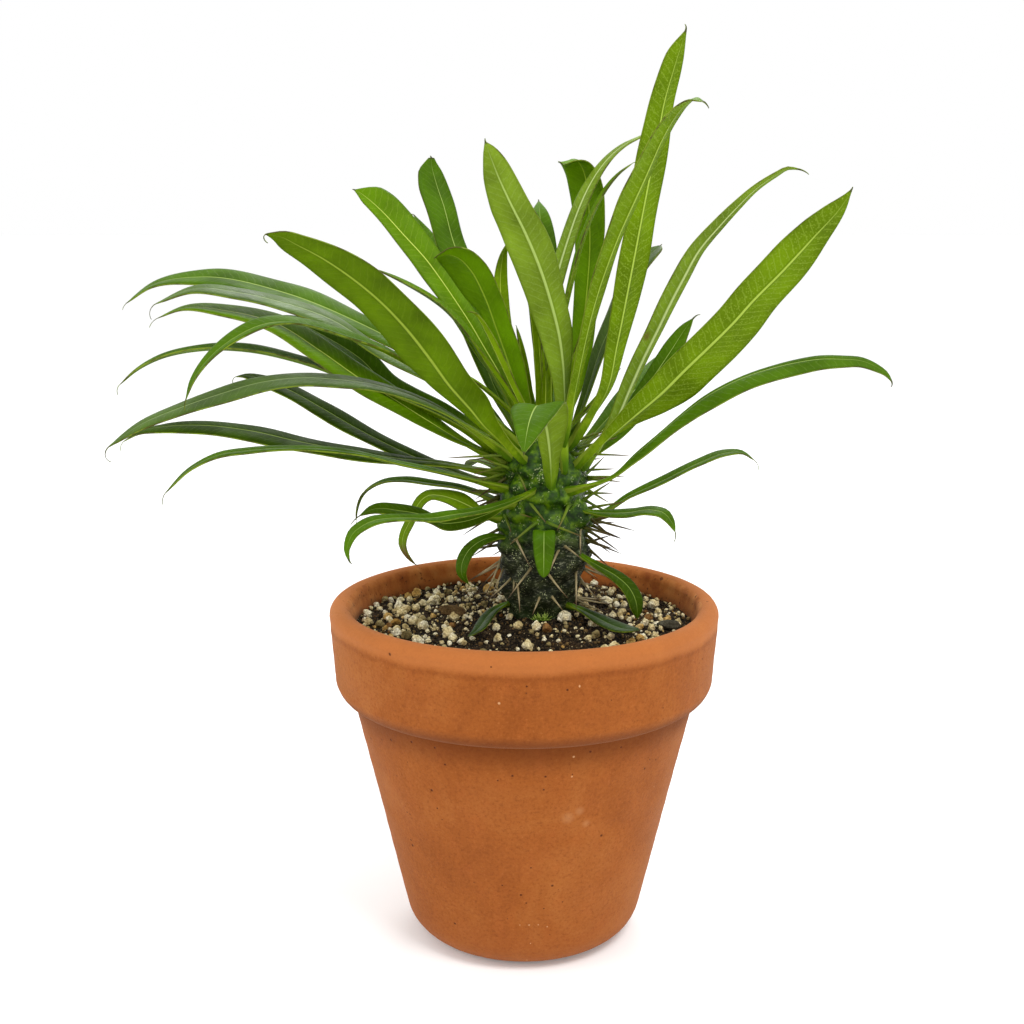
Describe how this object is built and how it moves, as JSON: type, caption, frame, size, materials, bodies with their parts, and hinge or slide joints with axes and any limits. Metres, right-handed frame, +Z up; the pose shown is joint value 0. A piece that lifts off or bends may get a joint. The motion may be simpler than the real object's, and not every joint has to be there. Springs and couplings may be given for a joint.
{
  "type": "potted pachypodium",
  "caption": "Spiny-stemmed succulent with a crown of long narrow leaves, growing in a round clay pot that stands on its flat foot.",
  "frame": {"origin": "middle of the pot's foot, on the pot's axis, at the height of the surface that the pot stands on", "axes": "+Z up along the pot's axis, the object's longest direction; +X to the right and -Y towards the viewer of the side with the lowest front leaves"},
  "size_m": [0.2469, 0.1805, 0.2952],
  "materials": {
    "terracotta": "matt, unglazed",
    "potting_mix": "loose and gritty",
    "stem_skin": "waxy skin",
    "leaf_green": "satin"
  },
  "bodies": {
    "root": {"clay_pot": "terracotta", "potting_mix": "potting_mix", "stem": "stem_skin", "leaf_left_01": "leaf_green", "leaf_left_02": "leaf_green", "leaf_left_03": "leaf_green", "leaf_left_04": "leaf_green", "leaf_left_05": "leaf_green", "leaf_left_06": "leaf_green", "leaf_left_07": "leaf_green", "leaf_left_08": "leaf_green", "leaf_left_09": "leaf_green", "leaf_left_10": "leaf_green", "leaf_low_01": "leaf_green", "leaf_low_02": "leaf_green", "leaf_low_03": "leaf_green", "leaf_low_04": "leaf_green", "leaf_low_05": "leaf_green", "leaf_low_06": "leaf_green", "leaf_low_07": "leaf_green", "leaf_front_01": "leaf_green", "leaf_front_02": "leaf_green", "leaf_front_03": "leaf_green", "leaf_right_01": "leaf_green", "leaf_right_02": "leaf_green", "leaf_right_03": "leaf_green", "leaf_right_04": "leaf_green", "leaf_right_05": "leaf_green", "leaf_right_06": "leaf_green", "leaf_top_01": "leaf_green", "leaf_top_02": "leaf_green", "leaf_top_03": "leaf_green", "leaf_top_04": "leaf_green", "leaf_top_05": "leaf_green", "leaf_top_06": "leaf_green", "leaf_top_07": "leaf_green", "leaf_top_08": "leaf_green", "leaf_top_09": "leaf_green", "leaf_top_10": "leaf_green", "leaf_top_11": "leaf_green", "leaf_top_12": "leaf_green", "leaf_top_13": "leaf_green", "leaf_top_14": "leaf_green", "leaf_top_15": "leaf_green", "leaf_young_01": "leaf_green", "leaf_young_02": "leaf_green", "leaf_young_03": "leaf_green", "leaf_back_01": "leaf_green", "leaf_back_02": "leaf_green", "leaf_back_03": "leaf_green", "leaf_back_04": "leaf_green", "leaf_back_05": "leaf_green", "leaf_back_06": "leaf_green", "leaf_back_07": "leaf_green"}
  },
  "joints": []
}
